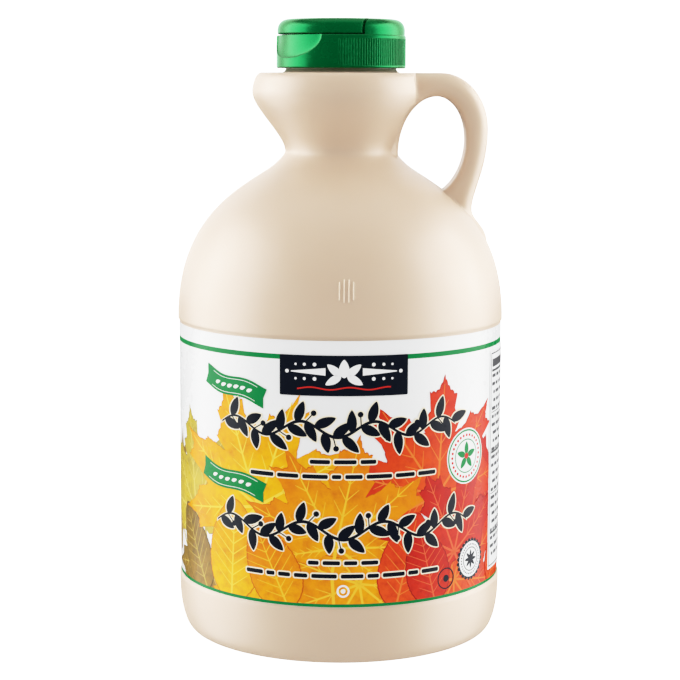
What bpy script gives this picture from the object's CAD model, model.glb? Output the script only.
import math
import random

import bmesh
import bpy
from mathutils import Matrix, Vector
from mathutils.geometry import interpolate_bezier


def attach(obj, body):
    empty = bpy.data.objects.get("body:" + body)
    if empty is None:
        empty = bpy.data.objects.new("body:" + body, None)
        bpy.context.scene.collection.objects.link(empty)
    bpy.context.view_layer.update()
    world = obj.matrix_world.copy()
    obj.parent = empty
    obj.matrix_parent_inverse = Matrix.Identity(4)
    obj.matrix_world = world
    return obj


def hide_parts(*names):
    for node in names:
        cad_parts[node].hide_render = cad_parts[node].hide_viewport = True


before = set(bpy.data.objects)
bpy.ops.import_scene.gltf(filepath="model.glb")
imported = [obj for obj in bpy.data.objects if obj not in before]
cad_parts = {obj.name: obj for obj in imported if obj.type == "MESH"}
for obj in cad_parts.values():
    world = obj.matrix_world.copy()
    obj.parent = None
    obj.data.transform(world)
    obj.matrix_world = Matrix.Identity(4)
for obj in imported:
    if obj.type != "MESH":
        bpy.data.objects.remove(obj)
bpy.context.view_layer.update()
print("frame loaded:", ", ".join(sorted(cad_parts)))


# Node and material helpers

def addNode(tree, kind, inputs=None, **settings):
    made = tree.nodes.new("ShaderNode" + kind)
    for name, value in settings.items():
        setattr(made, name, value)
    for name, value in (inputs or {}).items():
        if isinstance(value, bpy.types.NodeSocket):
            tree.links.new(value, made.inputs[name])
        else:
            made.inputs[name].default_value = value
    return made


def newMaterial(name, **shaderValues):
    material = bpy.data.materials.new(name)
    material.use_nodes = True
    shader = material.node_tree.nodes["Principled BSDF"]
    for socket, value in shaderValues.items():
        shader.inputs[socket.replace("_", " ")].default_value = value
    return material, material.node_tree, shader


def colourMix(tree, factor, first, second):
    mix = addNode(tree, "Mix", {"Factor": factor}, data_type="RGBA")
    for socket, value in ((mix.inputs[6], first), (mix.inputs[7], second)):
        if isinstance(value, bpy.types.NodeSocket):
            tree.links.new(value, socket)
        else:
            socket.default_value = (*value, 1)
    return mix.outputs[2]


def spread(tree, value, fromLow, fromHigh, toLow, toHigh):
    ends = {"From Min": fromLow, "From Max": fromHigh, "To Min": toLow, "To Max": toHigh}
    return addNode(tree, "MapRange", {"Value": value, **ends}).outputs["Result"]


def addNoise(tree, place, scale, detail, roughness=0.5):
    inputs = {"Vector": place, "Scale": scale, "Detail": detail, "Roughness": roughness}
    return addNode(tree, "TexNoise", inputs).outputs["Fac"]


def paintWith(tree, shader, colour):
    tree.links.new(colour, shader.inputs["Base Color"])


def roughenWith(tree, shader, rubs, roughness):
    usual = (0.3, 0.7)              # a noise seldom leaves this range
    tree.links.new(spread(tree, rubs, *usual, *roughness), shader.inputs["Roughness"])


# Mesh helpers

usualSharpAngle = math.radians(35)

def bezier(start, startRun, endRun, end, steps):
    start, end = Vector(start), Vector(end)
    knots = (start, start + Vector(startRun), end + Vector(endRun), end)
    return [(point.x, point.y) for point in interpolate_bezier(*(knot.to_3d() for knot in knots), steps)]


def spinRound(bm, geom, steps, angle=math.tau):
    bmesh.ops.spin(
        bm, geom=geom, cent=(0, 0, 0), axis=(0, 0, 1), angle=angle, steps=steps, use_merge=angle == math.tau
    )


def spun(profile, steps):
    bm = bmesh.new()
    verts = [bm.verts.new((radius, 0, height)) for radius, height in profile]
    spinRound(bm, verts + [bm.edges.new(pair) for pair in zip(verts, verts[1:])], steps)
    bmesh.ops.remove_doubles(bm, verts=bm.verts, dist=1e-6)
    return bm


def meshObject(name, mesh, materials):
    for material in materials:
        mesh.materials.append(material)
    mesh.shade_smooth()
    mesh.set_sharp_from_angle(angle=usualSharpAngle)
    piece = bpy.data.objects.new(name, mesh)
    bpy.context.scene.collection.objects.link(piece)
    return piece


def newPiece(name, bm, *materials):
    bmesh.ops.recalc_face_normals(bm, faces=bm.faces)
    mesh = bpy.data.meshes.new(name)
    bm.to_mesh(mesh)
    bm.free()
    return meshObject(name, mesh, materials)


def extrudedVerts(bm, faces):
    grown = bmesh.ops.extrude_face_region(bm, geom=faces)["geom"]
    return [part for part in grown if isinstance(part, bmesh.types.BMVert)]


def circleVerts(bm, steps, radius=1, filled=False):
    return bmesh.ops.create_circle(bm, cap_ends=filled, radius=radius, segments=steps)["verts"]


def ringEdges(verts):
    return {edge for vert in verts for edge in vert.link_edges}


def roundOff(bm, geom, offset, affect, steps):
    bmesh.ops.bevel(
        bm, geom=geom, offset=offset, offset_type="OFFSET", affect=affect, segments=steps,
        profile=0.5, material=-1,
    )


def bridgeRings(bm, rings):
    for near, far in zip(rings, rings[1:]):
        bmesh.ops.bridge_loops(bm, edges=list(near | far))
    bmesh.ops.holes_fill(bm, edges=bm.edges, sides=0)


def bakeModifiers(piece):
    graph = bpy.context.evaluated_depsgraph_get()
    old = piece.data
    piece.data = bpy.data.meshes.new_from_object(piece.evaluated_get(graph))
    piece.modifiers.clear()
    bpy.data.meshes.remove(old)


def combine(piece, tool, operation):
    modifier = piece.modifiers.new("combine", "BOOLEAN")
    modifier.operation = operation
    modifier.solver = "MANIFOLD"
    modifier.object = tool
    bakeModifiers(piece)
    bpy.data.objects.remove(tool)


def finishPiece(piece, slot, *nodes, sharpAngle=usualSharpAngle):
    piece.data.set_sharp_from_angle(angle=sharpAngle)
    modifier = piece.modifiers.new("even shading", "WEIGHTED_NORMAL")
    modifier.keep_sharp = True
    bakeModifiers(piece)
    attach(piece, "root")
    if nodes:
        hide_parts(*nodes)
    print("piece", piece.name, len(piece.data.polygons), "faces")


# Jug

jugSizes = {
    "ringSteps": 240,
    "bodyRadius": 0.05085,
    "footRadius": 0.0470,
    "footHeight": 0.0141,
    "footPower": 1.9,               # under 2 is a little flatter than an ellipse
    "footSteps": 24,
    "pushUp": (0.0365, 0.0030, 0.0018),     # radius, slope and depth of the hollow under the base
    "pushSteps": 8,
    "panel": (0.05036, 0.0174, 0.0977),     # radius and ends of the shallow panel under the label
    "panelSteps": 20,
    "ledge": 0.0005,
    "shoulderFullness": 0.0290,
    "slope": (0.02348, 0.14388),    # where the shoulder turns from convex to concave
    "slopeLean": math.radians(57.9),
    "slopeRuns": (0.0133, 0.0042),
    "waist": (0.01735, 0.1500),
    "waistRuns": (0.0010, 0.0049),
    "collar": (0.0275, 0.1682),
    "collarRuns": (0.0049, 0.0022),
    "collarFlat": (0.0247, 0.1741),
    "collarEdge": 0.0019,
    "neck": (0.0171, 0.1837),
    "neckRoot": (0.0183, 0.0013),
    "neckRootRuns": ((-0.0006, 0.0002), (0, -0.0006)),
    "neckChamfer": 0.0004,
    "curveSteps": (52, 16, 24, 14, 6),      # shoulder, throat, flare, collar edge and neck root
}

handleSizes = {
    "width": 0.0155,
    "edge": 0.0028,                 # rounding round the finger hole
    "outerEdge": 0.0040,
    "edgeSteps": 8,
    "top": (0.0309, 0.1742),
    "topRun": 0.0080,
    "reach": (0.0455, 0.1570),
    "reachRuns": (0.0094, 0.0120),
    "sweepSteps": (20, 20, 14),
    "ankle": (0.04075, 0.1328),
    "ankleRuns": ((0.00045, 0.0057), (-0.00015, -0.0040)),
    "heel": (0.0456, 0.1222),
    "heelRun": (-0.0003, 0.0054),
    "inside": (                     # the part of the outline that is buried in the body
        (0.0421, 0.1182), (0.0254, 0.1222), (0.0052, 0.1420),
        (0.0052, 0.1682), (0.0160, 0.1705), (0.0215, 0.1742),
    ),
    "hole": (0.0282, 0.1517, 0.0103, 0.0154),   # centre x and z, half width and half height
    "holeLean": math.radians(9.3),
    "holeSteps": 120,
    "overcut": 0.002,
    "pocketTurns": (math.radians(187), math.radians(128)),
    "pocketTop": ((0.0245, 0.1668), (0.0243, 0.1692), (0.0239, 0.1720), (0.0235, 0.1756)),
    "pocketEnd": 0.0400,
    "pocketDraft": (0.0003, 0.0027),
    "pocketSteps": 30,
}

ribSizes = {
    "pitch": 0.00134,
    "width": 0.00046,
    "relief": 0.00035,
    "tips": ((0, 0.3), (0.3, 0.75), (1, 1)),    # how far in from an end, in widths, and how full there
    "steps": 6,
    "segments": 16,
    "middle": (0.0018, 0.1116),
    "lengths": (0.0053, 0.0067, 0.0067, 0.0053),
}

resinLook = {
    "pale": (0.620, 0.470, 0.338),
    "deep": (0.575, 0.425, 0.300),
    "ribPale": (0.790, 0.640, 0.490),
    "ribDeep": (0.740, 0.590, 0.440),
    "roughness": (0.38, 0.48),
    "neckStain": (0.110, 0.130, 0.050),     # green shade of the cap on the neck under it
    "neckStainStrength": 0.85,
    "neckHeights": (0.17435, 0.17475),
    "specular": 0.7,
    "subsurface": (0.10, 0.002),    # weight and scale
    "subsurfaceRadius": (1.0, 0.6, 0.35),
    "sheen": (0.10, 0.45),          # weight and roughness
    "clouds": (26.0, 3.0, 0.55),    # scale, detail and roughness of each noise
    "rubs": (90.0, 4.0, 0.6),
    "grain": (1400.0, 2.0),
    "ripple": (60.0, 1.0),
    "rippleHeight": 0.00012,
    "rippleStrength": 0.5,
    "softEdge": 0.0014,
    "ribSoftEdge": 0.00012,
    "grainHeight": 0.000012,
    "seamHeight": 0.00010,
    "seamWidth": 0.00035,
}


def resinMaterial(name, pale, deep, softEdge):
    look = resinLook
    material, tree, shader = newMaterial(
        name, Specular_IOR_Level=look["specular"],
        Subsurface_Weight=look["subsurface"][0], Subsurface_Scale=look["subsurface"][1],
        Subsurface_Radius=look["subsurfaceRadius"],
        Sheen_Weight=look["sheen"][0], Sheen_Roughness=look["sheen"][1],
    )
    place = addNode(tree, "TexCoord").outputs["Object"]
    split = addNode(tree, "SeparateXYZ", {"Vector": place})
    underCap = spread(tree, split.outputs["Z"], *look["neckHeights"], 0.0, look["neckStainStrength"])
    clouded = colourMix(tree, addNoise(tree, place, *look["clouds"]), pale, deep)
    paintWith(tree, shader, colourMix(tree, underCap, clouded, look["neckStain"]))
    roughenWith(tree, shader, addNoise(tree, place, *look["rubs"]), look["roughness"])
    offSeam = addNode(tree, "Math", {0: split.outputs["Y"]}, operation="ABSOLUTE")
    seam = spread(tree, offSeam.outputs[0], 0.0, look["seamWidth"], look["seamHeight"], 0.0)   # parting line
    soft = addNode(tree, "Bevel", {"Radius": softEdge}, samples=8)
    waves = addNode(tree, "Bump", {
        "Height": addNoise(tree, place, *look["ripple"]), "Distance": look["rippleHeight"],
        "Strength": look["rippleStrength"], "Normal": soft.outputs[0],
    })
    grained = addNode(tree, "Bump", {
        "Height": addNoise(tree, place, *look["grain"]), "Distance": look["grainHeight"],
        "Normal": waves.outputs[0],
    })
    seamed = addNode(tree, "Bump", {"Height": seam, "Distance": 1.0, "Normal": grained.outputs[0]})
    tree.links.new(seamed.outputs[0], shader.inputs["Normal"])
    return material


def jugOutline():
    s = jugSizes
    pushRadius, pushSlope, pushDepth = s["pushUp"]
    points = [(0, pushDepth), (pushRadius - pushSlope, pushDepth)]
    points += bezier(points[-1], (pushSlope / 2, 0), (-pushSlope / 2, 0), (pushRadius, 0), s["pushSteps"])[1:]
    power = 2 / s["footPower"]
    for step in range(s["footSteps"] + 1):
        turn = math.pi / 2 * step / s["footSteps"]
        reach = s["footRadius"] + (s["bodyRadius"] - s["footRadius"]) * math.sin(turn) ** power
        points.append((reach, s["footHeight"] * (1 - max(math.cos(turn), 0) ** power)))
    panelRadius, low, high = s["panel"]
    points += [(s["bodyRadius"], low - s["ledge"]), (panelRadius, low)]
    points += [(panelRadius, low + (high - low) * step / s["panelSteps"]) for step in range(1, s["panelSteps"])]
    points += [(panelRadius, high)]
    return points + shoulderOutline()


def shoulderOutline():
    s = jugSizes
    shoulderSteps, throatSteps, flareSteps, edgeSteps, _ = s["curveSteps"]
    lean = Vector((-math.sin(s["slopeLean"]), math.cos(s["slopeLean"])))
    start = (s["bodyRadius"], s["panel"][2] + s["ledge"])
    shoulder = bezier(start, (0, s["shoulderFullness"]), -s["slopeRuns"][0] * lean, s["slope"], shoulderSteps)
    throat = bezier(s["slope"], s["slopeRuns"][1] * lean, (0, -s["waistRuns"][0]), s["waist"], throatSteps)
    flare = bezier(s["waist"], (0, s["waistRuns"][1]), (0, -s["collarRuns"][0]), s["collar"], flareSteps)
    edge = bezier(s["collar"], (0, s["collarRuns"][1]), (s["collarEdge"], 0), s["collarFlat"], edgeSteps)
    return shoulder + throat[1:] + flare[1:] + edge[1:]


def neckOutline():
    s = jugSizes
    (neckRadius, neckTop), (rootRadius, rootHeight) = s["neck"], s["neckRoot"]
    low, chamfer = s["collarFlat"][1], s["neckChamfer"]
    root = bezier((rootRadius, low), *s["neckRootRuns"], (neckRadius, low + rootHeight), s["curveSteps"][4])
    return root + [(neckRadius, neckTop - chamfer), (neckRadius - chamfer, neckTop), (0, neckTop)]


def handleBlank(material):
    h = handleSizes
    overSteps, backSteps, heelSteps = h["sweepSteps"]
    over = bezier(h["top"], (h["topRun"], 0), (0, h["reachRuns"][0]), h["reach"], overSteps)
    back = bezier(h["reach"], (0, -h["reachRuns"][1]), h["ankleRuns"][0], h["ankle"], backSteps)
    heel = bezier(h["ankle"], h["ankleRuns"][1], h["heelRun"], h["heel"], heelSteps)
    half = h["width"] / 2
    bm = bmesh.new()
    outline = over + back[1:] + heel[1:] + list(h["inside"])
    face = bm.faces.new([bm.verts.new((x, -half, z)) for x, z in outline])
    bmesh.ops.translate(bm, verts=extrudedVerts(bm, [face]), vec=(0, h["width"], 0))
    bmesh.ops.recalc_face_normals(bm, faces=bm.faces)
    rims = [edge for edge in bm.edges if len({round(vert.co.y, 6) for vert in edge.verts}) == 1]
    roundOff(bm, rims, h["outerEdge"], "EDGES", h["edgeSteps"])
    return newPiece("handle", bm, material)


def fingerHole(material):
    h = handleSizes
    x, z, halfWidth, halfHeight = h["hole"]
    half = h["width"] / 2
    stations = [(half + h["overcut"], h["edge"] + h["overcut"])]
    for step in range(h["edgeSteps"], -1, -1):
        turn = math.pi / 2 * step / h["edgeSteps"]
        stations.append((half - h["edge"] * (1 - math.sin(turn)), h["edge"] * (1 - math.cos(turn))))
    bm = bmesh.new()
    rings = []
    for y, widening in [(-y, widening) for y, widening in stations] + stations[::-1]:
        ring = circleVerts(bm, h["holeSteps"])
        size = Matrix.Diagonal((halfWidth + widening, halfHeight + widening, 1, 1))
        turned = Matrix.Rotation(h["holeLean"], 4, "Y") @ Matrix.Rotation(math.pi / 2, 4, "X")
        bmesh.ops.transform(bm, verts=ring, matrix=Matrix.Translation((x, y, z)) @ turned @ size)
        rings.append(ringEdges(ring))
    bridgeRings(bm, rings)
    return newPiece("fingerHole", bm, material)


def handlePocket(material):
    h = handleSizes
    x, z, halfWidth, halfHeight = h["hole"]
    first, last = h["pocketTurns"]
    inner = []
    for step in range(h["pocketSteps"] + 1):
        turn = first + (last - first) * step / h["pocketSteps"]
        across, along = halfWidth * math.cos(turn), halfHeight * math.sin(turn)
        inner.append((
            x + across * math.cos(h["holeLean"]) + along * math.sin(h["holeLean"]),
            z - across * math.sin(h["holeLean"]) + along * math.cos(h["holeLean"]),
        ))
    inner += h["pocketTop"]
    middle, end = h["pocketDraft"]
    side = jugSizes["collar"][0]
    bm = bmesh.new()
    rings = []
    for y, draft in ((-side, end), (0, middle), (side, end)):
        verts = [bm.verts.new((px - draft, y, pz)) for px, pz in inner]
        verts += [bm.verts.new((h["pocketEnd"], y, pz)) for pz in (inner[-1][1], inner[0][1])]
        rings.append({bm.edges.new(pair) for pair in zip(verts, verts[1:] + verts[:1])})
    bridgeRings(bm, rings)
    return newPiece("handlePocket", bm, material)


def radiusAt(height):
    outline = shoulderOutline()
    for (lowRadius, low), (highRadius, high) in zip(outline, outline[1:]):
        if low <= height <= high:
            return lowRadius + (highRadius - lowRadius) * (height - low) / (high - low)
    return jugSizes["bodyRadius"]


def shoulderRib(index, *materials):
    r = ribSizes
    length = r["lengths"][index]
    x = r["middle"][0] + r["pitch"] * (index - (len(r["lengths"]) - 1) / 2)
    low, high = r["middle"][1] - length / 2, r["middle"][1] + length / 2
    stations = [(low + (high - low) * step / r["steps"], 1) for step in range(1, r["steps"])]
    for part, fullness in r["tips"]:
        stations += [(low + r["width"] * part, fullness), (high - r["width"] * part, fullness)]
    bm = bmesh.new()
    rings = []
    for height, fullness in sorted(stations):
        surface = -math.sqrt(radiusAt(height) ** 2 - x**2)
        ring = circleVerts(bm, r["segments"])
        size = Matrix.Diagonal((r["width"] / 2 * fullness, r["relief"] * fullness, 1, 1))
        bmesh.ops.transform(bm, verts=ring, matrix=Matrix.Translation((x, surface, height)) @ size)
        rings.append(ringEdges(ring))
    bridgeRings(bm, rings)
    for face in bm.faces:
        face.material_index = 1     # the paler rib resin
    return newPiece("shoulderRib", bm, *materials)


resin = resinMaterial("cream resin", resinLook["pale"], resinLook["deep"], resinLook["softEdge"])
ribResin = resinMaterial(
    "cream rib resin", resinLook["ribPale"], resinLook["ribDeep"], resinLook["ribSoftEdge"]
)
jug = newPiece("jugBody", spun(jugOutline() + neckOutline(), jugSizes["ringSteps"]), resin, ribResin)
combine(jug, handlePocket(resin), "DIFFERENCE")
handle = handleBlank(resin)
combine(handle, fingerHole(resin), "DIFFERENCE")
combine(jug, handle, "UNION")
for ribIndex in range(len(ribSizes["lengths"])):
    combine(jug, shoulderRib(ribIndex, resin, ribResin), "UNION")
finishPiece(jug, "cream_resin", "jug")


# Cap and its flap

capSizes = {
    "steps": 600,                   # four to each rib
    "bottom": 0.1755,
    "seam": 0.1855,
    "radius": 0.0200,
    "bore": (0.0175, 0.1840),
    "chamfer": 0.0003,
    "ribZone": (0.1764, 0.1842),
    "ribDepth": 0.00022,
    "ribSteps": 8,
    "ribMargin": 0.0002,
    "smoothSpan": math.radians(53),     # no ribs this far to each side of the flap's mouth
    "lidRadius": 0.0197,
    "lidSide": (0.1869, 0.0020),    # height where the rounding starts, and its run
    "lidTop": (0.0162, 0.1904, 0.0022),
    "crown": 0.0003,
    "lidSteps": (14, 16),
    "gap": 0.0003,
    "sharpAngle": math.radians(30),
}

flapSizes = {
    "steps": 240,
    "turn": math.radians(-55),      # its mouth opens this way, 0 is the front
    "mouth": (-0.0051, 0.0184),
    "hinge": (0.0130, 0.0062),
    "widest": -0.0085,
    "reach": 0.0240,
    "slot": 0.0008,
    "hingeGap": 0.0004,
    "corner": 0.0012,
    "cornerSteps": 6,
    "rise": 0.0040,
    "scoopSpan": math.radians(38),
    "scoopHeight": 0.0071,
    "scoopDepth": 0.0016,
    "scoopSteps": (72, 40),
}

capLook = {
    "pale": (0.000, 0.120, 0.026),
    "deep": (0.000, 0.098, 0.020),
    "roughness": (0.22, 0.30),
    "metallic": 0.35,
    "specular": 0.30,
    "tint": (0.02, 1.0, 0.42, 1),
    "clouds": (120.0, 3.0),         # scale and detail of each noise
    "rubs": (400.0, 4.0),
    "grain": (2200.0, 2.0),
    "grainHeight": 0.000008,
    "softEdge": 0.00018,
}


def capMaterial():
    look = capLook
    material, tree, shader = newMaterial(
        "green cap plastic", Metallic=look["metallic"], Specular_IOR_Level=look["specular"],
        Specular_Tint=look["tint"],
    )
    place = addNode(tree, "TexCoord").outputs["Object"]
    paintWith(tree, shader, colourMix(tree, addNoise(tree, place, *look["clouds"]), look["pale"], look["deep"]))
    roughenWith(tree, shader, addNoise(tree, place, *look["rubs"]), look["roughness"])
    soft = addNode(tree, "Bevel", {"Radius": look["softEdge"]}, samples=6)
    bump = addNode(tree, "Bump", {
        "Height": addNoise(tree, place, *look["grain"]), "Distance": look["grainHeight"],
        "Normal": soft.outputs[0],
    })
    tree.links.new(bump.outputs[0], shader.inputs["Normal"])
    return material


def lidOutline():
    c = capSizes
    topRadius, topHeight, topRun = c["lidTop"]
    sideHeight, sideRun = c["lidSide"]
    crownSteps, edgeSteps = c["lidSteps"]
    middle, rim = (0, topHeight + c["crown"]), (topRadius, topHeight)
    crown = bezier(middle, (topRadius / 2, 0), (-topRadius / 3, c["crown"] / 3), rim, crownSteps)
    return crown + bezier(rim, (topRun, 0), (0, sideRun), (c["lidRadius"], sideHeight), edgeSteps)[1:]


def flapPlan(name, slack, low, material):
    f = flapSizes
    (mouth, mouthHalf), (hinge, hingeHalf) = f["mouth"], f["hinge"]
    taper = (mouthHalf - hingeHalf) / (hinge - mouth)
    side = slack * math.hypot(1, taper)
    hinge += f["hingeGap"] if slack else 0
    widest = mouthHalf + taper * (mouth - f["widest"]) + side
    narrowest = mouthHalf - taper * (hinge - mouth) + side
    halves = ((-f["reach"], widest), (f["widest"], widest), (hinge, narrowest))
    plan = [(along, -half) for along, half in halves] + [(along, half) for along, half in reversed(halves)]
    bm = bmesh.new()
    face = bm.faces.new([bm.verts.new((across, along, low)) for along, across in plan])
    top = capSizes["lidTop"][1] + f["rise"]
    bmesh.ops.translate(bm, verts=extrudedVerts(bm, [face]), vec=(0, 0, top - low))
    bmesh.ops.recalc_face_normals(bm, faces=bm.faces)
    corners = [
        edge for edge in bm.edges if all(vert.co.y > 0 for vert in edge.verts)
        and len({round(vert.co.z, 6) for vert in edge.verts}) == 2
    ]
    roundOff(bm, corners, f["corner"], "EDGES", f["cornerSteps"])
    bmesh.ops.rotate(bm, verts=bm.verts, cent=(0, 0, 0), matrix=Matrix.Rotation(f["turn"], 3, "Z"))
    return newPiece(name, bm, material)


def thumbScoop(material):
    f = flapSizes
    bm = bmesh.new()
    around, upwards = f["scoopSteps"]
    bmesh.ops.create_uvsphere(bm, u_segments=around, v_segments=upwards, radius=1)
    for vert in bm.verts:
        turn = f["turn"] + f["scoopSpan"] * vert.co.x
        radius = capSizes["radius"] - f["scoopDepth"] * vert.co.y
        height = capSizes["seam"] + f["scoopHeight"] * vert.co.z
        vert.co = (radius * math.sin(turn), -radius * math.cos(turn), height)
    return newPiece("thumbScoop", bm, material)


def capBody(material):
    c = capSizes
    low, high = c["ribZone"]
    radius, margin, chamfer = c["radius"], c["ribMargin"], c["chamfer"]
    boreRadius, boreTop = c["bore"]
    skirt = [(c["lidRadius"], c["seam"]), (radius, c["seam"] - chamfer), (radius, high + margin)]
    skirt += [(radius, high + (low - high) * step / c["ribSteps"]) for step in range(c["ribSteps"] + 1)]
    skirt += [(radius, low - margin), (radius, c["bottom"] + chamfer), (radius - chamfer, c["bottom"])]
    skirt += [(boreRadius, c["bottom"]), (boreRadius, boreTop), (0, boreTop)]
    bm = spun(lidOutline() + skirt, c["steps"])
    mouth = Vector((math.sin(flapSizes["turn"]), -math.cos(flapSizes["turn"])))
    for vert in bm.verts:           # every other pair of columns is pressed in between two ribs
        column = round(math.atan2(vert.co.y, vert.co.x) * c["steps"] / math.tau) % 4
        onRibs = abs(vert.co.z - (low + high) / 2) < (high - low + margin) / 2
        outside = vert.co.xy.length > (boreRadius + radius) / 2
        if onRibs and outside and column in (2, 3) and vert.co.xy.angle(mouth) > c["smoothSpan"]:
            vert.co.xy *= 1 - c["ribDepth"] / radius
    return newPiece("capSkirt", bm, material)


capGreen = capMaterial()
cap = capBody(capGreen)
combine(cap, flapPlan("flapSpace", flapSizes["slot"], capSizes["seam"], capGreen), "DIFFERENCE")
combine(cap, thumbScoop(capGreen), "DIFFERENCE")
finishPiece(cap, "green_cap", "cap", sharpAngle=capSizes["sharpAngle"])

flapBottom = capSizes["seam"] + capSizes["gap"]
flapRim = [
    (capSizes["lidRadius"], flapBottom + capSizes["chamfer"]),
    (capSizes["lidRadius"] - capSizes["chamfer"], flapBottom),
    (0, flapBottom),
]
flap = newPiece("capFlap", spun(lidOutline() + flapRim, flapSizes["steps"]), capGreen)
combine(flap, flapPlan("flapShape", 0, capSizes["bottom"], capGreen), "INTERSECT")
finishPiece(flap, "green_cap", "cap_flap", sharpAngle=capSizes["sharpAngle"])


# Label: a film sleeve with its print laid on it. The print is drawn flat in millimetres, x round from the
# front's middle and y up from the ground, then cut into columns, given a thickness and bent round the jug.

labelSizes = {
    "radius": 0.0505,
    "wall": 0.0001,
    "bottom": 0.0179,
    "top": 0.0972,
    "columns": 320,
    "layer": 0.004,                 # millimetres that each layer of print stands over the one below
    "sunk": 0.02,                   # millimetres that its underside lies in the film
    "stripes": ((91.5, 92.95), (17.95, 19.0)),
    "lap": (151.0, 160.0),          # the film's overlap at the back
    "lapLayer": 16,
}

inkColours = {
    "film": (0.860, 0.865, 0.865),
    "green": (0.002, 0.200, 0.045),
    "navy": (0.004, 0.006, 0.012),
    "white": (0.860, 0.865, 0.865),
    "halo": (0.880, 0.800, 0.620),
    "red": (0.600, 0.020, 0.015),
    "grey": (0.080, 0.080, 0.085),
}

filmLook = {
    "roughness": (0.24, 0.34),
    "shine": 0.15,
    "inkShine": 0.05,
    "variation": 0.03,
    "inkVariation": 0.06,
    "mottle": (320.0, 4.0, 0.6),    # scale, detail and roughness of each noise
    "rubs": (70.0, 4.0, 0.65),
    "ripple": (45.0, 2.0),
    "rippleHeight": 0.0001,
    "rippleStrength": 0.4,
}

leafLook = {
    "shine": 0.06,
    "wander": (6.0, 5.0, 0.6),      # frays the change of colour from heart to edge
    "wandering": 0.5,
    "outward": (0.28, 0.66),
    "patches": (14.0, 6.0, 0.7),
    "patchRange": (0.46, 0.74),
    "patchStrength": 0.8,
}


def filmMaterial(name, colour, variation=filmLook["inkVariation"], shine=filmLook["inkShine"]):
    material, tree, shader = newMaterial(name, Specular_IOR_Level=shine)
    place = addNode(tree, "TexCoord").outputs["Object"]
    darker = tuple(channel * (1 - variation) for channel in colour)
    paintWith(tree, shader, colourMix(tree, addNoise(tree, place, *filmLook["mottle"]), colour, darker))
    addFilmSurface(tree, shader, place)
    return material


def addFilmSurface(tree, shader, place):
    look = filmLook
    roughenWith(tree, shader, addNoise(tree, place, *look["rubs"]), look["roughness"])
    ripple = addNoise(tree, place, *look["ripple"])
    inputs = {"Height": ripple, "Distance": look["rippleHeight"], "Strength": look["rippleStrength"]}
    tree.links.new(addNode(tree, "Bump", inputs).outputs[0], shader.inputs["Normal"])


def leafMaterial(name, heart, edge, shade):
    # the leaf's own map runs from its stem at the middle out to its tips
    look = leafLook
    material, tree, shader = newMaterial(name, Specular_IOR_Level=look["shine"])
    own = addNode(tree, "UVMap", uv_map="leafMap").outputs[0]
    place = addNode(tree, "TexCoord").outputs["Object"]
    centred = addNode(tree, "VectorMath", {0: own, 1: (0.5, 0.5, 0.0)}, operation="SUBTRACT")
    away = addNode(tree, "VectorMath", {0: centred.outputs[0]}, operation="LENGTH")
    wander = addNoise(tree, own, *look["wander"])
    frayed = {0: wander, 1: look["wandering"], 2: away.outputs["Value"]}
    wandering = addNode(tree, "Math", frayed, operation="MULTIPLY_ADD")
    body = colourMix(tree, spread(tree, wandering.outputs[0], *look["outward"], 0.0, 1.0), heart, edge)
    patches = addNoise(tree, own, *look["patches"])
    patched = spread(tree, patches, *look["patchRange"], 0.0, look["patchStrength"])
    paintWith(tree, shader, colourMix(tree, patched, body, shade))
    addFilmSurface(tree, shader, place)
    return material


def moveShape(bm, verts, x, y, turn=0.0):
    place = Matrix.Translation((x, y, 0)) @ Matrix.Rotation(math.radians(turn), 4, "Z")
    bmesh.ops.transform(bm, verts=verts, matrix=place)


def addDisc(bm, x, y, radius, steps):
    moveShape(bm, circleVerts(bm, steps, radius, filled=True), x, y)


def aroundPlace(x, y, radius, count):
    for index in range(count):      # from the top
        turn = math.pi / 2 + math.tau * index / count
        yield x + radius * math.cos(turn), y + radius * math.sin(turn), math.degrees(turn)


def addRing(bm, x, y, outer, inner, steps, scallops=0, scallopDepth=0.0):
    rims = set()
    for radius, wavy in ((outer, scallops), (inner, 0)):
        verts = circleVerts(bm, steps, radius)
        for vert in verts if wavy else ():
            turn = math.atan2(vert.co.y, vert.co.x)
            vert.co *= 1 - scallopDepth * (1 - abs(math.sin(wavy * turn / 2)))
        moveShape(bm, verts, x, y)
        rims |= ringEdges(verts)
    bmesh.ops.bridge_loops(bm, edges=list(rims))


def addBlock(bm, left, bottom, right, top, corner=0.0):
    verts = bmesh.ops.create_grid(bm, x_segments=1, y_segments=1, size=0.5)["verts"]
    size = Matrix.Diagonal((right - left, top - bottom, 1, 1))
    middle = Matrix.Translation(((left + right) / 2, (bottom + top) / 2, 0))
    bmesh.ops.transform(bm, verts=verts, matrix=middle @ size)
    if corner:
        roundOff(bm, verts, corner, "VERTICES", 4)


def addTaper(bm, start, end, startWidth, endWidth):
    start, along = Vector(start), Vector(end) - Vector(start)
    side = Vector((-along.y, along.x)).normalized()
    for vert in bmesh.ops.create_grid(bm, x_segments=1, y_segments=1, size=1)["verts"]:
        part = (vert.co.y + 1) / 2
        width = startWidth + (endWidth - startWidth) * part
        vert.co = (start + along * part - side * vert.co.x * width / 2).to_3d()


def addWave(bm, left, right, bottomAt, topAt, steps):
    for vert in bmesh.ops.create_grid(bm, x_segments=steps, y_segments=1, size=0.5)["verts"]:
        x = left + (right - left) * (vert.co.x + 0.5)
        vert.co = (x, topAt(x) if vert.co.y > 0 else bottomAt(x), 0)


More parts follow.
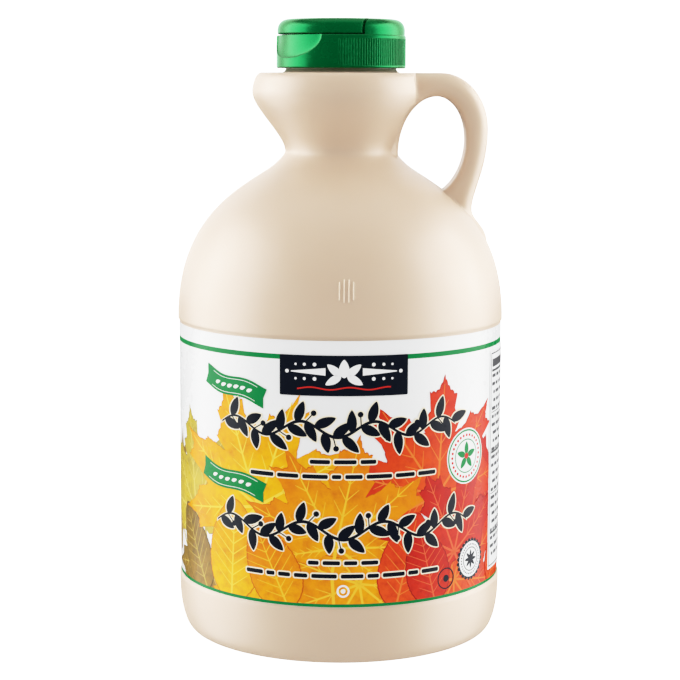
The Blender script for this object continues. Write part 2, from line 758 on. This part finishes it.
def addAlmond(bm, x, y, length, width, turn):
    verts = circleVerts(bm, 28, filled=True)
    for vert in verts:              # pointed at both ends, with its stem end at (x, y)
        angle = math.atan2(vert.co.y, vert.co.x)
        belly = math.sin(angle) * abs(math.sin(angle)) ** 0.35
        vert.co = (length / 2 * (1 + math.cos(angle)), width / 2 * belly * (1 - 0.25 * math.cos(angle)), 0)
    moveShape(bm, verts, x, y, turn)


def wrapPrint(bm, layer):
    s = labelSizes
    around = s["radius"] * 1000
    pitch = math.tau * around / s["columns"]
    bmesh.ops.triangulate(bm, faces=[face for face in bm.faces if len(face.verts) > 4])
    low, high = min(vert.co.x for vert in bm.verts), max(vert.co.x for vert in bm.verts)
    for column in range(math.ceil(low / pitch), math.floor(high / pitch) + 1):
        bmesh.ops.bisect_plane(
            bm, geom=bm.verts[:] + bm.edges[:] + bm.faces[:], dist=1e-5,
            plane_co=(column * pitch, 0, 0), plane_no=(1, 0, 0),
        )
    for face in bm.faces:
        if face.normal.z < 0:
            face.normal_flip()
    bmesh.ops.translate(bm, verts=extrudedVerts(bm, bm.faces[:]), vec=(0, 0, 1))
    bmesh.ops.recalc_face_normals(bm, faces=bm.faces)
    for vert in bm.verts:
        lift = layer * s["layer"] if vert.co.z > 0.5 else -s["sunk"]
        turn = vert.co.x / around
        radius = s["radius"] + lift / 1000
        vert.co = (radius * math.sin(turn), -radius * math.cos(turn), vert.co.y / 1000)


def newPrint(name, *layers):
    # each layer is its own flat shapes, its height in layers and its ink
    joined = bmesh.new()
    for index, (flat, layer, ink) in enumerate(layers):
        wrapPrint(flat, layer)
        for face in flat.faces:
            face.material_index = index
        mesh = bpy.data.meshes.new("layer")
        flat.to_mesh(mesh)
        flat.free()
        joined.from_mesh(mesh)
        bpy.data.meshes.remove(mesh)
    mesh = bpy.data.meshes.new(name)
    joined.to_mesh(mesh)
    joined.free()
    piece = meshObject(name, mesh, [ink for flat, layer, ink in layers])
    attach(piece, "root")
    print("print", name, len(mesh.polygons), "faces")


def labelSleeve(material):
    s = labelSizes
    inner = s["radius"] - s["wall"]
    bm = bmesh.new()
    corners = ((s["radius"], s["bottom"]), (s["radius"], s["top"]), (inner, s["top"]), (inner, s["bottom"]))
    verts = [bm.verts.new((0, -radius, height)) for radius, height in corners]
    edges = [bm.edges.new(pair) for pair in zip(verts, verts[1:] + verts[:1])]
    spinRound(bm, verts + edges, s["columns"])
    return newPiece("labelSleeve", bm, material)


film = filmMaterial("label film", inkColours["film"], filmLook["variation"], filmLook["shine"])
inks = {name: filmMaterial(name + " ink", colour) for name, colour in inkColours.items() if name != "film"}
finishPiece(labelSleeve(film), "label_film", "label")


def labelStripes():
    s = labelSizes
    half = math.pi * s["radius"] * 1000
    front, lapFilm, lapFront = bmesh.new(), bmesh.new(), bmesh.new()
    left, right = s["lap"]
    for low, high in s["stripes"]:
        addBlock(front, -half, low, half, high)
        addBlock(lapFront, left, low, right, high)
    addBlock(lapFilm, left, s["bottom"] * 1000, right, s["top"] * 1000)
    green, over = inks["green"], s["lapLayer"]
    newPrint("labelStripes", (front, 1, green), (lapFilm, over, film), (lapFront, over + 1, green))


labelStripes()


# Autumn leaves

leafOutline = (                     # the right half of a lobed leaf, tip to stem, one long from stem to tip
    (0.00, 1.00), (0.06, 0.86), (0.15, 0.83), (0.13, 0.70), (0.22, 0.64), (0.15, 0.50),
    (0.27, 0.56), (0.33, 0.66), (0.42, 0.62), (0.62, 0.76), (0.58, 0.60), (0.70, 0.57),
    (0.56, 0.43), (0.46, 0.27), (0.60, 0.30), (0.68, 0.22), (0.90, 0.18), (0.72, 0.07),
    (0.74, -0.03), (0.52, -0.06), (0.44, -0.20), (0.20, -0.20), (0.07, -0.08),
)

leafDrawing = {                     # lengths are of a leaf one long, but for the trim and the rim
    "trim": 18.95,                  # the leaves end here, behind the lower stripe
    "rim": 0.3,                     # dark line round each leaf
    "variation": ((0.94, 1.06), (0.96, 1.04)),
    "stretchSteps": 6,              # points from one corner of the outline to the next
    "sag": 0.30,                    # how far each stretch bows in
    "tooth": 0.018,
    "veinTips": (
        (0.0, 0.92), (0.56, 0.69), (-0.56, 0.69), (0.80, 0.16), (-0.80, 0.16),
        (0.40, -0.17), (-0.40, -0.17),
    ),
    "vein": (0.026, 0.006),         # widths of a vein where it starts and ends
    "sideVein": (0.010, 0.004),
    "sideVeinsAt": (0.30, 0.46, 0.62, 0.78),
    "sideVeinReach": (0.24, 0.75),
    "sideVeinLean": math.radians(38),
    "stalk": ((0, 0.01), (0.02, -0.26), (0.02, -0.25), (0.09, -0.50)),
    "stalkWidths": (0.030, 0.028),
    "ovalTeeth": 11,
    "ovalSaw": 0.035,
    "ovalBelly": (0.27, 0.31),
    "ovalStalk": -0.16,
    "ovalVein": (0.028, 0.006),
    "ovalSideVein": (0.011, 0.005),
    "ovalSideVeins": 7,
}

leafPaints = {
    "olive": ((0.60, 0.43, 0.05), (0.44, 0.34, 0.04), (0.22, 0.17, 0.04), (0.74, 0.58, 0.14)),
    "bronze": ((0.32, 0.19, 0.04), (0.21, 0.13, 0.03), (0.11, 0.08, 0.03), (0.52, 0.38, 0.09)),
    "gold": ((0.90, 0.46, 0.006), (0.84, 0.32, 0.005), (0.62, 0.17, 0.005), (0.95, 0.64, 0.06)),
    "amber": ((0.86, 0.33, 0.005), (0.74, 0.18, 0.005), (0.52, 0.10, 0.006), (0.93, 0.50, 0.03)),
    "scarlet": ((0.76, 0.075, 0.012), (0.62, 0.028, 0.010), (0.40, 0.015, 0.008), (0.84, 0.19, 0.03)),
    "crimson": ((0.60, 0.030, 0.012), (0.46, 0.014, 0.010), (0.26, 0.008, 0.008), (0.78, 0.12, 0.04)),
}

leafPlaces = (                      # kind, paint, x, y, size and turn, the lowest first
    ("lobed", "bronze", -67.0, 35.0, 30.0, 38),
    ("lobed", "crimson", 56.0, 42.0, 30.0, -24),
    ("lobed", "olive", -53.0, 41.0, 33.0, 8),
    ("lobed", "bronze", -46.0, 26.0, 27.0, 178),
    ("lobed", "gold", -22.0, 24.0, 29.0, 194),
    ("lobed", "amber", 6.0, 25.0, 32.0, 150),
    ("lobed", "scarlet", 38.0, 23.0, 30.0, -100),
    ("oval", "bronze", -46.0, 18.0, 28.0, 30),
    ("lobed", "gold", -25.0, 47.0, 38.0, 20),
    ("lobed", "scarlet", 31.0, 50.0, 36.0, -4),
    ("oval", "gold", -35.0, 17.0, 31.0, -3),
    ("lobed", "amber", -1.0, 36.0, 34.0, -12),
    ("lobed", "crimson", 38.0, 31.5, 29.0, 24),
    ("oval", "amber", -15.0, 17.0, 27.0, 24),
    ("oval", "scarlet", 17.0, 17.0, 29.0, -14),
    ("oval", "crimson", 30.5, 17.0, 24.0, 14),
    ("oval", "scarlet", 58.0, 18.0, 26.0, -36),
)
inkLayer = 3 * len(leafPlaces) + 1  # everything printed over the leaves starts here


def printOver(name, *layers):
    newPrint(name, *[(flat, inkLayer + step, inks[ink]) for flat, step, ink in layers])


def mapLeaf(bm, verts, size):
    own = bm.loops.layers.uv.get("leafMap") or bm.loops.layers.uv.new("leafMap")
    for face in {face for vert in verts for face in vert.link_faces}:
        for loop in face.loops:
            loop[own].uv = (0.5 + 0.4 * loop.vert.co.x / size, 0.5 + 0.4 * loop.vert.co.y / size)


def addVein(bm, start, end, widths, size):
    startWidth, endWidth = widths
    addTaper(bm, Vector(start) * size, Vector(end) * size, startWidth * size, endWidth * size)


def addLobedShape(bm, x, y, size, turn, outline, grown=0.0):
    d = leafDrawing
    parts = d["stretchSteps"]
    verts = circleVerts(bm, parts * len(outline), filled=True)
    for index, vert in enumerate(verts):
        corner = index // parts
        start, end = Vector(outline[corner]), Vector(outline[(corner + 1) % len(outline)])
        part = index % parts / parts
        tooth = d["tooth"] if index % 3 == 1 else 0
        sag = d["sag"] * part * (1 - part) * (end - start).length + tooth
        point = start.lerp(end, part) * (1 - sag) * size
        vert.co = (point + point.normalized() * grown).to_3d()
    mapLeaf(bm, verts, size)
    moveShape(bm, verts, x, y, turn)


def lobedLeaf(x, y, size, turn, randomly):
    d = leafDrawing
    across, upwards = d["variation"]
    outline = list(leafOutline) + [(-px, py) for px, py in reversed(leafOutline[1:])]
    outline = [(px * randomly.uniform(*across), py * randomly.uniform(*upwards)) for px, py in outline]
    rim, body, veins = bmesh.new(), bmesh.new(), bmesh.new()
    addLobedShape(rim, x, y, size, turn, outline, grown=d["rim"])
    addLobedShape(body, x, y, size, turn, outline)
    longest, shrinking = d["sideVeinReach"]
    for tip in d["veinTips"]:
        tip = Vector(tip)
        addVein(veins, (0, 0), tip, d["vein"], size)
        for along in d["sideVeinsAt"]:
            for lean in (-d["sideVeinLean"], d["sideVeinLean"]):
                side = Matrix.Rotation(lean, 2) @ tip.normalized()
                reach = longest * (1 - along * shrinking) * tip.length
                addVein(veins, tip * along, tip * along + side * reach, d["sideVein"], size)
    for start, end in (d["stalk"][:2], d["stalk"][2:]):
        addVein(veins, start, end, d["stalkWidths"], size)
    moveShape(veins, veins.verts[:], x, y, turn)
    return rim, body, veins


def addOvalShape(bm, x, y, size, turn, belly, grown=0.0):
    teeth = leafDrawing["ovalTeeth"]
    verts = circleVerts(bm, teeth * 12, filled=True)
    for vert in verts:
        angle = math.atan2(vert.co.x, -vert.co.y)       # 0 at the stem, half a turn at the tip
        height = (1 - math.cos(angle)) / 2
        width = belly * math.sin(angle) * (1.22 - 0.42 * height) * abs(math.sin(angle)) ** 0.12
        saw = 1 - leafDrawing["ovalSaw"] * (height * teeth * 1.6 % 1)
        out = Vector((math.sin(angle), -math.cos(angle))) * grown
        vert.co = (width * saw * size + out.x, height * size + out.y, 0)
    mapLeaf(bm, verts, size)
    moveShape(bm, verts, x, y, turn)


def ovalLeaf(x, y, size, turn, randomly):
    d = leafDrawing
    rim, body, veins = bmesh.new(), bmesh.new(), bmesh.new()
    belly = randomly.uniform(*d["ovalBelly"])
    addOvalShape(rim, x, y, size, turn, belly, grown=d["rim"])
    addOvalShape(body, x, y, size, turn, belly)
    addVein(veins, (0, d["ovalStalk"]), (0, 0.93), d["ovalVein"], size)
    for step in range(d["ovalSideVeins"]):
        along = 0.14 + 0.105 * step
        reach = belly * math.sin(math.pi * min(along + 0.08, 1)) * 0.92
        for side in (-1, 1):
            addVein(veins, (0, along), (side * reach, along + 0.75 * reach), d["ovalSideVein"], size)
    moveShape(veins, veins.verts[:], x, y, turn)
    return rim, body, veins


def trimBelow(bm, height):
    everything = bm.verts[:] + bm.edges[:] + bm.faces[:]
    bmesh.ops.bisect_plane(bm, geom=everything, plane_co=(0, height, 0), plane_no=(0, 1, 0), clear_inner=True)


def labelLeaves():
    paints = {}
    for paint, (heart, edge, shade, vein) in leafPaints.items():
        paints[paint] = (
            filmMaterial(paint + " rim", shade), leafMaterial(paint + " leaf", heart, edge, shade),
            filmMaterial(paint + " vein", vein),
        )
    randomly = random.Random(11)
    for index, (kind, paint, x, y, size, turn) in enumerate(leafPlaces):
        draw = lobedLeaf if kind == "lobed" else ovalLeaf
        layers = []
        for step, (flat, ink) in enumerate(zip(draw(x, y, size, turn, randomly), paints[paint])):
            trimBelow(flat, leafDrawing["trim"])
            layers.append((flat, 3 * index + 1 + step, ink))
        newPrint(f"leaf{index + 1}", *layers)


labelLeaves()


# Dark panel, ribbons, vines and small print

panelPrint = {                      # millimetres, as all the print
    "field": (-17.8, 81.1, 20.3, 92.95),    # left, bottom, right and top
    "corner": 0.35,
    "middle": (1.25, 88.2),
    "bud": (86.4, 5.4, 3.0),        # height of its foot, length and width
    "petal": (0.9, 87.0, 5.2, 2.3),         # side and height of its foot, length and width
    "petalLeans": (40, -30),
    "wedge": (5.4, 15.6, 2.2, 0.3),         # from and to, and its widths there
    "dots": ((8.6, 2.1, 0.55), (11.6, 2.1, 0.45), (14.2, 2.1, 0.35), (16.8, 0.0, 0.55)),
    "rule": (-12.5, 15.0, 83.1, 83.5),
    "ruleWave": (0.35, 0.55),
}


def labelPanel():
    p = panelPrint
    panel, marks, rule = bmesh.new(), bmesh.new(), bmesh.new()
    addBlock(panel, *p["field"], corner=p["corner"])
    middle, level = p["middle"]
    addAlmond(marks, middle, *p["bud"], 90)
    foot, footHeight, length, width = p["petal"]
    start, end, startWidth, endWidth = p["wedge"]
    for side in (-1, 1):
        base = 0 if side > 0 else 180
        for lean in p["petalLeans"]:
            addAlmond(marks, middle + side * foot, footHeight, length, width, base + side * lean)
        addTaper(marks, (middle + side * start, level), (middle + side * end, level), startWidth, endWidth)
        for at, up, radius in p["dots"]:
            for rise in {-up, up}:
                addDisc(marks, middle + side * at, level + rise, radius, 20)
    left, right, bottom, top = p["rule"]
    swing, pace = p["ruleWave"]
    heights = [lambda x, edge=edge: edge + swing * math.sin(x * pace) for edge in (bottom, top)]
    addWave(rule, left, right, *heights, 60)
    printOver("labelPanel", (panel, 0, "navy"), (marks, 1, "white"), (rule, 1, "red"))


ribbonPrint = {
    "wave": (0.65, 1.1),            # its swing and how many waves long it is
    "tails": (1.5, 0.9),            # how far its corners reach out, and its end's middle in
    "lines": (-0.37, 0.37),
    "lineInset": 1.6,
    "lineHalf": 0.08,
    "seedsAt": (-0.30, -0.18, -0.06, 0.06, 0.18, 0.30),
    "seedStart": (0.9, 0.5),
    "seed": (2.1, 1.1, 28),         # length, width and lean
}


def labelRibbon(name, x, y, length, height, turn):
    r = ribbonPrint
    band, marks = bmesh.new(), bmesh.new()
    half = length / 2
    swing, waves = r["wave"]
    cornersOut, middleIn = r["tails"]

    def wave(at):
        return swing * math.sin(at * math.tau / length * waves)

    for vert in bmesh.ops.create_grid(band, x_segments=36, y_segments=2, size=1)["verts"]:
        at = vert.co.x * half
        if abs(vert.co.x) > 0.999:          # swallow tails
            at += math.copysign(cornersOut if abs(vert.co.y) > 0.5 else -middleIn, vert.co.x)
        vert.co = (at, wave(at) + vert.co.y * height / 2, 0)
    end = half - r["lineInset"]
    for level in r["lines"]:
        edges = [lambda at, off=height * level + up: wave(at) + off for up in (-r["lineHalf"], r["lineHalf"])]
        addWave(marks, -end, end, *edges, 36)
    back, down = r["seedStart"]
    for at in r["seedsAt"]:
        addAlmond(marks, at * length - back, wave(at * length) - down, *r["seed"])
    for flat in (band, marks):
        moveShape(flat, flat.verts[:], x, y, turn)
    printOver(name, (band, 0, "green"), (marks, 1, "white"))


vinePrint = {
    "halo": 0.4,
    "stem": 0.5,                    # half its width at the middle
    "waves": 3.5,
    "leaves": 28,
    "leafLengths": (5.8, 7.0),
    "leafWidth": 2.9,
    "leafLeans": (46, 60),
    "berry": (3.6, 0.85, 62),       # reach from the stem, radius and lean
    "berryStalk": 0.35,
}


def labelVine(name, left, right, height, swing, seed):
    # a leafy vine, drawn a little larger and pale first so it stands off the leaves behind
    v = vinePrint
    span = right - left
    berryReach, berryRadius, berryLean = v["berry"]

    def stem(x):
        return height + swing * math.sin((x - left) / span * v["waves"] * math.tau)

    drawn = []
    for grown in (v["halo"], 0.0):
        vine = bmesh.new()
        randomly = random.Random(seed)
        thick = v["stem"] + grown

        def halfStem(x):
            return thick * (0.55 + 0.45 * math.sin(math.pi * (x - left) / span))

        edges = [lambda x, side=side: stem(x) + side * halfStem(x) for side in (-1, 1)]
        addWave(vine, left - grown, right + grown, *edges, 120)
        for index in range(v["leaves"]):
            x = left + span * (index + 0.5) / v["leaves"]
            slope = math.degrees(math.atan2(stem(x + 0.2) - stem(x - 0.2), 0.4))
            side = 1 if index % 2 else -1
            length = randomly.uniform(*v["leafLengths"])
            turn = slope + side * randomly.uniform(*v["leafLeans"])
            back = Vector((math.cos(math.radians(turn)), math.sin(math.radians(turn)))) * grown
            width = v["leafWidth"] + 2 * grown
            addAlmond(vine, x - back.x, stem(x) - back.y, length + 2 * grown, width, turn)
            if index % 3 == 1:
                lean = math.radians(slope - side * berryLean)
                berry = (x + berryReach * math.cos(lean), stem(x) + berryReach * math.sin(lean))
                stalk = v["berryStalk"] + 2 * grown
                addDisc(vine, *berry, berryRadius + grown, 24)
                addTaper(vine, (x, stem(x)), berry, stalk, stalk)
        drawn.append(vine)
    printOver(name, (drawn[0], 0, "halo"), (drawn[1], 1, "navy"))


def addDashes(bm, left, right, height, tall, randomly, lengths, grown=0.0):
    x = left
    while x < right - lengths[0]:
        end = min(x + randomly.uniform(*lengths), right)
        corner = min(tall, end - x) * 0.35 + grown * 0.9
        half = tall / 2 + grown
        addBlock(bm, x - grown, height - half, end + grown, height + half, corner)
        x = end + 0.55 * tall + 0.45


smallPrint = {
    "rows": ((-8.7, 10.8, 61.6), (-27.5, 30.0, 57.2), (-9.2, 11.6, 31.4), (-29.0, 32.0, 27.4)),
    "tall": 1.25,
    "lengths": (2.6, 8.0),
    "halo": 0.4,
    "mark": (1.2, 22.9),            # a ring and a dot where the measure would be
    "markRadii": (1.9, 1.35, 0.7),
}


def labelSmallPrint():
    p = smallPrint
    halos, dashes, mark = bmesh.new(), bmesh.new(), bmesh.new()
    for flat, grown in ((halos, p["halo"]), (dashes, 0.0)):
        randomly = random.Random(5)
        for left, right, height in p["rows"]:
            addDashes(flat, left, right, height, p["tall"], randomly, p["lengths"], grown)
    outer, inner, dot = p["markRadii"]
    addRing(mark, *p["mark"], outer, inner, 40)
    addDisc(mark, *p["mark"], dot, 24)
    printOver("labelSmallPrint", (halos, 0, "halo"), (dashes, 1, "navy"), (mark, 1, "white"))


sealPrint = {
    "places": {"flower": (43.0, 60.2), "star": (45.8, 27.9), "ring": (34.6, 23.9)},
    "layers": {"white": 0, "green": 1, "navy": 2, "red": 2},
    "marks": (                      # seal, ink, shape and its measures, how far out it stands and how often
        ("flower", "white", addDisc, (8.5, 96), 0, 1),
        ("flower", "green", addRing, (8.1, 7.6, 96), 0, 1),
        ("flower", "green", addRing, (5.2, 4.9, 72), 0, 1),
        ("flower", "red", addDisc, (0.42, 16), 6.4, 28),
        ("flower", "green", addAlmond, (3.9, 1.9), 0.5, 5),
        ("flower", "red", addDisc, (0.9, 24), 0, 1),
        ("star", "navy", addRing, (6.6, 5.5, 144, 24, 0.12), 0, 1),
        ("star", "white", addDisc, (6.0, 72), 0, 1),
        ("star", "navy", addRing, (3.7, 3.45, 64), 0, 1),
        ("star", "navy", addAlmond, (2.9, 1.0), 0, 8),
        ("star", "navy", addDisc, (0.25, 10), 4.55, 32),
        ("ring", "navy", addRing, (3.3, 2.9, 48), 0, 1),
        ("ring", "navy", addDisc, (1.1, 32), 0, 1),
    ),
}


def labelSeals():
    s = sealPrint
    drawn = {ink: bmesh.new() for ink in s["layers"]}
    for seal, ink, draw, measures, out, count in s["marks"]:
        for x, y, turn in aroundPlace(*s["places"][seal], out, count):
            draw(drawn[ink], x, y, *measures, *([turn] if draw is addAlmond else []))
    printOver("labelSeals", *[(drawn[ink], layer, ink) for ink, layer in s["layers"].items()])


infoPrint = {
    "margin": 0.8,
    "corner": 0.5,
    "frame": 0.35,
    "heading": (1.2, 4.4, 2.0, 0.72),       # inset, bottom and top under the panel's top, part of its width
    "firstRow": 7.2,
    "lastRow": 3.0,
    "pitch": 2.55,
    "rule": (1.0, 1.3),             # inset, and height over its row
    "indents": (1.2, 2.4),
    "widths": (0.45, 0.72),         # the rows' parts of the panel's width
    "rowDash": (1.4, 4.2),
    "endDash": (1.4, 3.2),
    "endColumn": (5.0, 1.4),
}


def infoPanel(name, left, right, bottom, top, seed, ink):
    p = infoPrint
    randomly = random.Random(seed)
    field, lines = bmesh.new(), bmesh.new()
    margin, frameWidth = p["margin"], p["frame"]
    addBlock(field, left - margin, bottom - margin, right + margin, top + margin, corner=p["corner"])
    for edge in (left, right - frameWidth):
        addBlock(lines, edge, bottom + frameWidth, edge + frameWidth, top - frameWidth)
    for edge in (bottom, top - frameWidth):
        addBlock(lines, left, edge, right, edge + frameWidth)
    inset, under, over, part = p["heading"]
    addBlock(lines, left + inset, top - under, left + (right - left) * part, top - over, corner=0.3)
    ruleInset, ruleRise = p["rule"]
    columnStart, columnEnd = p["endColumn"]
    y = top - p["firstRow"]
    row = 0
    while y > bottom + p["lastRow"]:
        if row % 5 == 0:
            thick = 0.7 if row % 10 == 0 else 0.25
            addBlock(lines, left + ruleInset, y + ruleRise, right - ruleInset, y + ruleRise + thick)
        indent = p["indents"][1] if row % 5 in (2, 3) else p["indents"][0]
        end = left + (right - left) * randomly.uniform(*p["widths"])
        addDashes(lines, left + indent, end, y, 1.0, randomly, p["rowDash"])
        addDashes(lines, right - columnStart, right - columnEnd, y, 1.0, randomly, p["endDash"])
        y -= p["pitch"]
        row += 1
    printOver(name, (field, 0, "white"), (lines, 1, ink))


labelPanel()
labelRibbon("labelRibbonUpper", -34.1, 82.2, 20.6, 5.8, -11.8)
labelRibbon("labelRibbonLower", -35.0, 53.9, 22.4, 5.9, -10.5)
labelVine("labelVineUpper", -38.5, 37.5, 71.2, 2.3, 3)
labelVine("labelVineLower", -40.6, 43.2, 41.0, 2.6, 8)
labelSmallPrint()
labelSeals()
infoPanel("labelFacts", 58.0, 98.0, 22.5, 89.5, 21, "grey")
infoPanel("labelDetails", 103.0, 147.0, 48.0, 89.5, 34, "green")
infoPanel("labelStory", -146.0, -86.0, 22.5, 89.5, 55, "green")


# Floor, walls, light and camera

stageLook = {
    "floorRadius": 3.0,
    "wallHeight": 2.5,
    "mirroredSpan": math.radians(200),      # the wall's part behind and beside the jug, which shines on it
    "glow": 2.2,                    # the table and the wall are lit from behind
    "paint": (0.20, 0.20, 0.20),
    "paintVariation": 0.03,
    "dust": (30.0, 3.0),
    "surround": 1.05,
    "aim": (0, 0, 0.10),            # the lights point here
}

softboxes = (                       # name, place, size, power, lights the surface or only shines on it
    ("softboxLeft", (-0.90, 0.00, 0.30), (0.8, 1.0), 6.0, True),
    ("softboxRight", (0.90, 0.00, 0.30), (0.8, 1.0), 6.0, True),
    ("sheenLeft", (-0.88, 0.05, 0.10), (1.0, 1.7), 27.0, False),
    ("sheenRight", (0.88, 0.05, 0.10), (1.0, 1.7), 27.0, False),
    ("softboxTop", (0.0, 0.15, 1.10), (0.9, 0.9), 3.0, True),
)

cameraView = {
    "lens": 98.24,
    "sensor": 36.0,
    "nearest": 0.01,
    "place": (0.0, -0.5810, 0.1716),
    "tilt": math.radians(90) - 0.1387,
    "roll": 0.004,
    "shoulder": ((0.30, 0.583), (0.40, 0.71), (0.50, 0.80), (0.65, 0.895), (0.80, 0.955)),
    "straightTo": (0.225, 0.45),    # the film's response is straight up to here
    "whiteLevel": 2.0,
}


def stageMaterial(name):
    look = stageLook
    material, tree, shader = newMaterial(
        name, Roughness=0.7, Emission_Color=(1, 1, 1, 1), Emission_Strength=look["glow"]
    )
    dust = addNoise(tree, addNode(tree, "TexCoord").outputs["Object"], *look["dust"])
    darker = tuple((1 - look["paintVariation"]) * channel for channel in look["paint"])
    paintWith(tree, shader, colourMix(tree, dust, look["paint"], darker))
    return material


def buildWall(name, turn, span, mirrored, paint):
    bm = bmesh.new()
    start = Vector((math.cos(turn), math.sin(turn))) * stageLook["floorRadius"] * 0.98
    foot = bm.verts.new((*start, -0.05))
    top = bm.verts.new((*start, stageLook["wallHeight"]))
    upright = bm.edges.new((foot, top))
    spinRound(bm, [foot, top, upright], 64, span)
    wall = newPiece(name, bm, paint)
    wall.visible_diffuse = False
    wall.visible_glossy = mirrored


def buildStage():
    look = stageLook
    bm = bmesh.new()
    circleVerts(bm, 96, look["floorRadius"], filled=True)
    floor = newPiece("floor", bm, stageMaterial("pale table"))
    floor.visible_diffuse = False
    floor.visible_glossy = False
    floor.visible_shadow = False
    paint = stageMaterial("pale backdrop")
    mirrored = look["mirroredSpan"]
    start = (math.pi - mirrored) / 2
    buildWall("backdrop", start, mirrored, True, paint)
    buildWall("backdropFront", start + mirrored, math.tau - mirrored, False, paint)
    world = bpy.data.worlds.new("studio")
    bpy.context.scene.world = world
    world.use_nodes = True
    light = world.node_tree.nodes["Background"]
    light.inputs["Color"].default_value = (1, 1, 1, 1)
    light.inputs["Strength"].default_value = look["surround"]
    world.cycles_visibility.glossy = False      # the front reflects a dark room


def buildLights():
    aim = Vector(stageLook["aim"])
    for name, place, (width, height), power, lights in softboxes:
        light = bpy.data.lights.new(name, "AREA")
        light.shape = "RECTANGLE"
        light.size, light.size_y = width, height
        light.energy = power
        box = bpy.data.objects.new(name, light)
        box.location = place
        box.rotation_euler = (aim - Vector(place)).to_track_quat("-Z", "Y").to_euler()
        box.visible_camera = False
        box.visible_diffuse = lights
        bpy.context.scene.collection.objects.link(box)


def buildCamera():
    camera = bpy.data.cameras.new("camera")
    camera.lens = cameraView["lens"]
    camera.sensor_width = cameraView["sensor"]
    camera.clip_start = cameraView["nearest"]
    eye = bpy.data.objects.new("camera", camera)
    tilt = Matrix.Rotation(cameraView["tilt"], 4, "X")
    roll = Matrix.Rotation(cameraView["roll"], 4, "Z")
    eye.matrix_world = Matrix.Translation(cameraView["place"]) @ tilt @ roll
    bpy.context.scene.collection.objects.link(eye)
    bpy.context.scene.camera = eye


def setResponse():
    # bright tones roll off gently, as they do in a camera
    view = bpy.context.scene.view_settings
    view.view_transform = "Standard"
    view.use_curve_mapping = True
    mapping = view.curve_mapping
    mapping.white_level = [cameraView["whiteLevel"]] * 3
    points = mapping.curves[3].points
    straight = cameraView["straightTo"]
    for part in (0.33, 0.66, 1.0):
        points.new(straight[0] * part, straight[1] * part)
    for point in cameraView["shoulder"]:
        points.new(*point)
    mapping.update()


buildStage()
buildLights()
buildCamera()
setResponse()
print("stage, lights and camera set")
